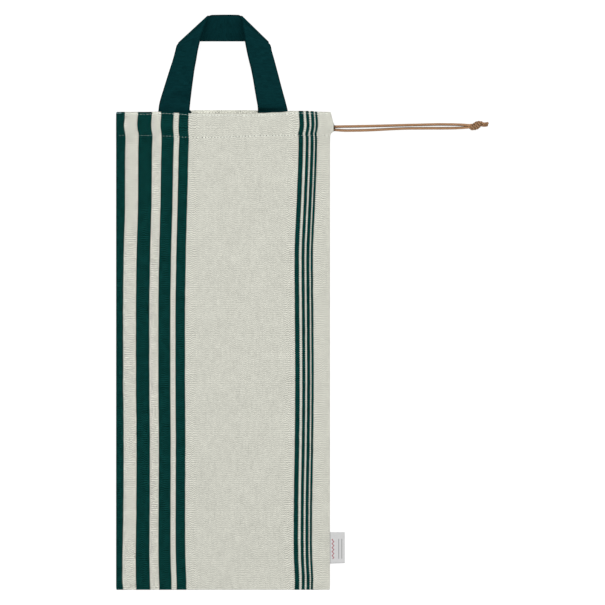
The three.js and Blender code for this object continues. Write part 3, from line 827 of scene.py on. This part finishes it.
class Output:
    """What a node gives out. Where it is a number, arithmetic with it adds more nodes."""

    def __init__(self, make, socket):
        self.make = make
        self.socket = socket

    __abs__ = node_maths("ABSOLUTE")
    __add__ = __radd__ = node_maths("ADD")
    __sub__ = node_maths("SUBTRACT")
    __rsub__ = node_maths("SUBTRACT", swapped=True)
    __mul__ = __rmul__ = node_maths("MULTIPLY")
    __truediv__ = node_maths("DIVIDE")
    __pow__ = node_maths("POWER")
    sine = node_maths("SINE")
    cosine = node_maths("COSINE")
    root = node_maths("SQRT")
    floor = node_maths("FLOOR")
    nearest = node_maths("ROUND")
    fraction = node_maths("FRACT")
    remainder = node_maths("MODULO")
    to_and_fro = node_maths("PINGPONG")
    least = node_maths("MINIMUM")
    most = node_maths("MAXIMUM")
    above = node_maths("GREATER_THAN")

    def ease(self, low, high):
        """Zero to one between low and high, smoothly."""
        feeds = {"Value": self, "From Min": low, "From Max": high}
        return self.make.node("MapRange", feeds, interpolation_type="SMOOTHSTEP")


class Finish:
    """Adds nodes to one new material and feeds numbers, colours or outputs into their inputs."""

    def __init__(self, name, roughness, specular):
        self.material = bpy.data.materials.new(name)
        self.material.use_nodes = True
        self.tree = self.material.node_tree
        self.surface = self.tree.nodes["Principled BSDF"]
        self.feed(self.surface, {"Roughness": roughness, "Specular IOR Level": specular})

    def feed(self, node, feeds):
        """Sets or links inputs of a node, given by name or number."""
        for name, value in feeds.items():
            if isinstance(value, Output):
                self.tree.links.new(value.socket, node.inputs[name])
            else:
                node.inputs[name].default_value = value

    def node(self, kind, feeds, output=0, **settings):
        """Adds a node with its settings, feeds its inputs and gives one of its outputs."""
        node = self.tree.nodes.new("ShaderNode" + kind)
        for name, setting in settings.items():
            setattr(node, name, setting)
        self.feed(node, feeds)
        return Output(self, node.outputs[output])

    def mix(self, share, first, second, blend="MIX"):
        """One colour over another, by that share."""
        return self.node("Mix", {0: share, 6: first, 7: second}, 2, data_type="RGBA", blend_type=blend)

    def grey(self, value):
        """A colour of equal parts."""
        return self.node("CombineColor", dict.fromkeys(range(3), value))

    def tint(self, colour, tone):
        """A colour made lighter or darker."""
        return self.mix(1.0, colour, self.grey(tone), "MULTIPLY")

    def millimetres(self, place):
        """The first two parts of a place, in millimetres."""
        return [self.node("SeparateXYZ", {0: place}, part) / MM for part in (0, 1)]

    def weave(self):
        """The piece's own measure across and along."""
        return self.millimetres(self.node("UVMap", {}, uv_map="weave"))

    def from_above(self):
        """Where a point lies, seen from above."""
        return self.millimetres(self.node("TexCoord", {}, "Object"))

    def exit_shade(self):
        """Painted shade at the hem's exit, under its upper lip: one there, zero further in and further out
        along the cord.
        """
        x, _ = self.from_above()
        begin, full, fade, end = EXIT_SHADE_X
        return x.ease(begin, full) * x.ease(end, fade)

    def glint_and_wear_corner(self):
        """One on the mouth's edge at the fold, where the stripes get a painted highlight and show pale
        weft, and zero away from it.
        """
        x, y = self.from_above()
        return x.ease(*GLINT_AND_WEAR_X) * y.ease(*GLINT_AND_WEAR_Y)

    def noise(self, x, y, scale, detail=2.0):
        """Soft noise at a place, from about minus a half to a half."""
        place = self.node("CombineXYZ", {0: x, 1: y})
        return self.node("TexNoise", {"Vector": place, "Scale": scale, "Detail": detail}) - 0.5

    def chance(self, x, y):
        """A number for each place, from minus a half to a half."""
        place = self.node("CombineXYZ", {0: x, 1: y})
        return self.node("TexWhiteNoise", {"Vector": place}, noise_dimensions="2D") - 0.5

    def hollow_shade(self, reach):
        """Painted shade: one on open surface, less in gaps within that reach."""
        return self.node("AmbientOcclusion", {"Distance": reach}, "AO") ** 3.0

    def finish(self, base, height, depth, strength):
        """Wires the colour and a bump of that depth in metres."""
        bump = self.node("Bump", {"Strength": strength, "Distance": depth, "Height": height})
        self.feed(self.surface, {"Base Color": base, "Normal": bump})
        return self.material


def rgba(values):
    """A colour that hides what is behind it."""
    return (*values, 1.0)


def into_stripes(place):
    """Distance to the nearest stripe's edge, below zero inside a stripe: the least over all stripes."""
    edges = [abs(place - (start + width / 2)) - width / 2 for start, width in STRIPES]
    return reduce(Output.least, edges)


def striped_cotton(sizes, colours):
    """A warp-faced twill in ecru, with green stripes toothed at their edges and needle holes in the hem,
    darkened with painted shade.
    """
    make = Finish("striped_cotton", roughness=0.92, specular=0.0)
    across, along = make.weave()
    pitch, stitch = sizes.mm("yarn"), sizes.mm("stitch")
    twill = 4 * pitch

    # Stripes, and the strips of ground between the broad ones
    tooth = along.to_and_fro(twill / 2) / (twill / 2)
    wander = 0.4 * make.noise(across, 0.3 * along, 0.25)
    from_fold = abs(across) + wander + (FAR_TOOTH - NEAR_TOOTH) / 2 * tooth
    into = into_stripes(from_fold) + (FAR_TOOTH + NEAR_TOOTH) / 2 * tooth
    stripe = into.ease(STRIPE_BLUR, -STRIPE_BLUR)
    strips = from_fold.ease(*STRIPS_END)

    def strength(plain, on_strips, on_stripes):
        """How strongly the tone varies at each place."""
        return plain + on_strips * strips + on_stripes * stripe

    # Yarns that float over three and dip under one, a step further on each yarn, and ribs across them. The
    # floats' tone is painted shade, darker between yarns and where they dip.
    warp = across / pitch
    number = warp.floor()
    ridge = abs((warp * math.pi).sine())
    dip = ((number + along / pitch) * (math.pi / 2)).cosine().ease(0.35, 0.95)
    floats = ridge * (1 - 0.7 * dip)
    jitter = 2.8 * make.noise(across, 0.12 * along, 0.4)
    ribs = ((along / twill + jitter + 0.4) * (2 * math.pi)).sine()
    ribs = ribs * (strength(*RIBS) + 0.165 * into.ease(*NEAR_STRIPES))
    specks = make.noise(across, along, 0.5) * strength(*SPECKS)
    mottle = make.noise(across, 0.6 * along, 0.16) * strength(*MOTTLE)
    yarn_tone = 0.06 * make.chance(number, (along / YARN_RUN).floor())
    cloud = 0.12 * make.noise(across, along, 0.03)
    tone = (0.8 + 0.22 * floats + yarn_tone + cloud + ribs + specks + mottle).most(0.2)

    # The inside is paler: painted light that lifts the shade under the upper panel's edge. It has dark
    # slubs.
    inside = along.ease(0.0, -1.0)
    slubs = make.noise(across, 0.7 * along, 0.55) + 0.6 * make.noise(across, along, 0.07)
    tone = tone * (1 + 0.42 * inside) * (1 - 0.4 * inside * slubs.ease(0.02, 0.18))

    # Needle holes, darkened with painted shade, and the cloth puffed up between them, lightened with a
    # painted highlight
    from_mouth = abs(along)
    to_row = reduce(Output.least, [abs(from_mouth - depth) for depth in ROW_DEPTHS])
    to_hole = (across.to_and_fro(stitch / 2) ** 2 + to_row**2).root()
    lower = from_mouth.above(CORD_DEPTH)
    uneven = (0.5 + make.chance((across / stitch).nearest(), lower)) ** 0.6
    hole_dip_and_shade = to_hole.ease(*HOLE_RADII) * uneven * (0.5 + 0.45 * lower)
    puffed_highlight = 0.5 + make.chance((across / stitch).floor(), lower) - stripe
    tone = tone + 0.26 * (to_row.ease(*PUFF_HIGHLIGHT_REACH) * puffed_highlight).most(0.0)
    # Painted shade at the hem's exit, where its upper lip shades the cloth
    tone = tone * (1 - 0.95 * hole_dip_and_shade) * (1 - 0.25 * make.exit_shade())

    # Painted highlight on the stripes at the fold's corner, where the pale weft also shows
    green = make.mix(make.glint_and_wear_corner(), rgba(colours.green), rgba(colours.glint_and_wear))
    base = make.tint(make.mix(stripe, rgba(colours.ecru), green), tone)
    return make.finish(base, floats - 2 * hole_dip_and_shade, depth=0.00012, strength=0.6)


def green_webbing(sizes, colours):
    """Cotton webbing: narrow columns along it whose yarns slant to alternate sides, with firm selvedges.
    Painted highlights on the columns' crowns, and painted shade between them and along the selvedges.
    """
    make = Finish("green_webbing", roughness=0.9, specular=0.0)
    across, along = make.weave()
    column = across / WEBBING_COLUMN
    inside = column.fraction()
    slant = (2 * abs(column.floor()).remainder(2) - 1) * inside
    yarns = ((along / WEBBING_YARN + slant) * math.pi).sine()
    height = (inside * math.pi).sine().root() * (0.7 + 0.3 * yarns)
    run_long, run_wide = WEBBING_RUN
    yarn_tone = make.chance((along / run_long).floor(), (across / run_wide).floor())
    cloud = make.noise(across, along, 0.09) + make.noise(across, along, 0.55)
    # Painted highlight on the columns' and yarns' crowns, painted shade between them
    tone = 0.62 + 0.5 * height + 0.26 * yarn_tone + 0.3 * cloud
    # Painted shade along the selvedges
    to_edge = sizes.mm("strap") / 2 - abs(across)
    tone = tone * (1 - 0.35 * to_edge.ease(*SELVEDGE_SHADE))
    return make.finish(make.tint(rgba(colours.webbing), tone), height, depth=0.00025, strength=0.8)


def braided_cord(colours, name, shade):
    """Tan cord with fine fibres: each bundle of the braid has a painted highlight on its crown and painted
    shade in the gaps.
    """
    make = Finish(name, roughness=0.75, specular=0.15)
    around, along = make.weave()
    lit_crown = make.node("Attribute", {}, "Fac", attribute_name="relief").ease(0.1, 1.0)
    fibres = make.noise(5 * around, along, 1.6, detail=3.0)
    # Painted highlight on the braid's crowns, painted shade in its gaps
    tone = 0.35 + 0.85 * lit_crown + 0.4 * fibres + 0.3 * make.noise(around, along, 0.12)
    # Painted shade where the strands leave the hem under its upper lip, and in the braid's hollows
    tone = tone * (1 - 0.35 * make.exit_shade()) * shade * make.hollow_shade(CORD_SHADE_REACH)
    return make.finish(make.tint(rgba(colours.cord), tone), fibres, depth=0.00012, strength=0.5)


def hem_thread(sizes, colours):
    """Two-ply sewing thread: dark lines wind round it, painted shade in the grooves between the plies."""
    make = Finish("hem_thread", roughness=0.7, specular=0.15)
    around, along = make.weave()
    turns = along / (THREAD_TWIST * sizes.mm("thread")) + around
    ply = abs((turns * math.pi).sine())
    return make.finish(make.tint(rgba(colours.thread), 0.72 + 0.3 * ply), ply, depth=0.00006, strength=0.6)


def satin_tape(colours):
    """Pale satin tape with fine ribs, and a plain woven border: a red zigzag beside two thin grey lines."""
    make = Finish("satin_tape", roughness=0.55, specular=0.2)
    along, across = make.weave()
    rib, pick = (abs((way * (math.pi / step)).sine()) for way, step in zip((across, along), TAPE_RIBS))
    height = rib + 0.4 * pick
    # Painted shade: darker between the tape's ribs and picks
    tone = 0.88 + 0.08 * height + 0.1 * make.noise(across, along, 0.2)
    base = make.tint(rgba(colours.tape), tone)
    begin, end = TAB_BORDER
    reach = along.ease(begin - TAB_BLUR, begin + TAB_BLUR).least(along.ease(end + TAB_BLUR, end - TAB_BLUR))
    zigzag = abs(across - (TAB_BAND - along.to_and_fro(TAB_ZIGZAG))).ease(0.75, 0.45)
    base = make.mix(zigzag * reach, base, rgba(colours.band))
    for line in TAB_LINES:
        base = make.mix(abs(across - line).ease(0.5, 0.25) * reach, base, rgba(colours.line))
    return make.finish(base, height, depth=0.00005, strength=0.5)


def table_top():
    """A plain white table with a hardly visible grain."""
    make = Finish("table_top", roughness=0.8, specular=0.0)
    make.feed(make.surface, {"Emission Color": (1, 1, 1, 1), "Emission Strength": TABLE_GLOW})
    specks = make.noise(*make.from_above(), 0.06)
    return make.finish(make.grey(0.18 + 0.02 * specks), specks, depth=0.0001, strength=0.1)


# Operators


class BREADBAG_OT_stage(Operator):
    """Add the camera, the light and the table"""

    bl_idname = "breadbag.stage"
    bl_label = "Stage"

    def execute(self, context):
        scene = context.scene
        settings = scene.bread_bag_stage
        scene.view_settings.view_transform = "Standard"
        camera = put_in_scene(bpy.data.cameras.new("camera"))
        camera.data.lens = settings.lens
        distance = PHOTO_WIDTH * MM * settings.lens / camera.data.sensor_width
        camera.location = (PHOTO_MIDDLE[0] * MM, PHOTO_MIDDLE[1] * MM, distance)
        camera.data.clip_end = 100
        scene.camera = camera
        world = bpy.data.worlds.new("surroundings")
        world.use_nodes = True
        surroundings = world.node_tree.nodes["Background"]
        surroundings.inputs["Color"].default_value = (1, 1, 1, 1)
        surroundings.inputs["Strength"].default_value = settings.ambient
        scene.world = world
        key = put_in_scene(bpy.data.lights.new("key_light", "AREA"))
        key.data.energy = settings.key
        key.data.size = KEY_SIZE
        key.location = KEY_PLACE
        key.rotation_euler = (Vector(KEY_AIM) - key.location).to_track_quat("-Z", "Y").to_euler()
        side = np.linspace(-TABLE_REACH, TABLE_REACH, TABLE_STEPS)
        grid = join(side, side[:, None], TABLE_HEIGHT)
        table = put_in_scene(grid_mesh("table", grid, grid[..., :2]))
        table.data.materials.append(table_top())
        return {"FINISHED"}


class BREADBAG_OT_drawcord(Operator):
    """Add the drawcord: its two loose strands, its knot and its length in the hem"""

    bl_idname = "breadbag.drawcord"
    bl_label = "Drawcord"

    def execute(self, context):
        sizes = context.scene.bread_bag_sizes
        colours = context.scene.bread_bag_colours
        finish = braided_cord(colours, "braided_cord", 1.0)
        diameter = sizes.mm("cord")
        darker_knot = braided_cord(colours, "darker_knot_cord", KNOT_SHADE)
        knot = self.add("drawcord_knot_braid", knot_paths(), diameter, darker_knot)
        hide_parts("drawcord_knot")
        hem_cord = self.add("drawcord_in_hem", [hem_cord_path(sizes)], diameter, finish)
        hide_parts("drawcord_in_channel")
        strands = (
            ("drawcord_upper_braid", UPPER_STRAND, UPPER_EXIT, "drawcord_upper_strand"),
            ("drawcord_lower_braid", LOWER_STRAND, LOWER_EXIT, "drawcord_lower_strand"),
        )
        for name, points, leaves, node in strands:
            path = route(points, STRAND_RINGS)
            strand = self.add(name, [path], diameter, finish)
            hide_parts(node)
        return {"FINISHED"}

    def add(self, name, paths, diameter, finish):
        """Puts one braid into the scene."""
        return link_piece(cord_mesh(name, paths, diameter), finish)


class BREADBAG_OT_bag(Operator):
    """Add the bag's cloth with its hem"""

    bl_idname = "breadbag.bag"
    bl_label = "Bag"

    def execute(self, context):
        sizes = context.scene.bread_bag_sizes
        colours = context.scene.bread_bag_colours
        bag = link_piece(bag_mesh(sizes), striped_cotton(sizes, colours))
        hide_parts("bag")
        stitches = link_piece(hem_stitch_mesh(sizes), hem_thread(sizes, colours))
        return {"FINISHED"}


class BREADBAG_OT_handle(Operator):
    """Add the webbing handle"""

    bl_idname = "breadbag.handle"
    bl_label = "Handle"

    def execute(self, context):
        sizes = context.scene.bread_bag_sizes
        finish = green_webbing(sizes, context.scene.bread_bag_colours)
        handle = link_piece(handle_mesh(sizes), finish)
        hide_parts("handle")
        return {"FINISHED"}


class BREADBAG_OT_tab(Operator):
    """Add the folded tab in the side seam"""

    bl_idname = "breadbag.tab"
    bl_label = "Side tab"

    def execute(self, context):
        sizes = context.scene.bread_bag_sizes
        tab = link_piece(tab_mesh(sizes), satin_tape(context.scene.bread_bag_colours))
        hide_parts("side_label")
        return {"FINISHED"}


class BREADBAG_PT_panel(Panel):
    """Lists the operators and the sizes"""

    bl_idname = "BREADBAG_PT_panel"
    bl_label = "Bread Bag"
    bl_space_type = "VIEW_3D"
    bl_region_type = "UI"
    bl_category = "Bread Bag"

    def draw(self, context):
        for operator in OPERATORS:
            self.layout.operator(operator.bl_idname)
        for group in GROUPS:
            settings = getattr(context.scene, group)
            for name in settings.__annotations__:
                self.layout.prop(settings, name)


OPERATORS = (
    BREADBAG_OT_stage,
    BREADBAG_OT_drawcord,
    BREADBAG_OT_bag,
    BREADBAG_OT_handle,
    BREADBAG_OT_tab,
)
GROUPS = {
    "bread_bag_sizes": BreadBagSizes,
    "bread_bag_colours": BreadBagColours,
    "bread_bag_stage": BreadBagStage,
}


def register():
    """Registers the classes and gives each scene its settings."""
    for cls in (*GROUPS.values(), *OPERATORS, BREADBAG_PT_panel):
        bpy.utils.register_class(cls)
    for name, group in GROUPS.items():
        setattr(bpy.types.Scene, name, PointerProperty(type=group))


def unregister():
    """Takes the settings and the classes away again."""
    for name in GROUPS:
        delattr(bpy.types.Scene, name)
    for cls in (BREADBAG_PT_panel, *reversed(OPERATORS), *reversed(GROUPS.values())):
        bpy.utils.unregister_class(cls)


def main():
    """Builds the stage and the pieces."""
    register()
    bpy.ops.breadbag.stage()
    bpy.ops.breadbag.drawcord()
    bpy.ops.breadbag.bag()
    bpy.ops.breadbag.handle()
    bpy.ops.breadbag.tab()


if __name__ == "__main__":
    main()
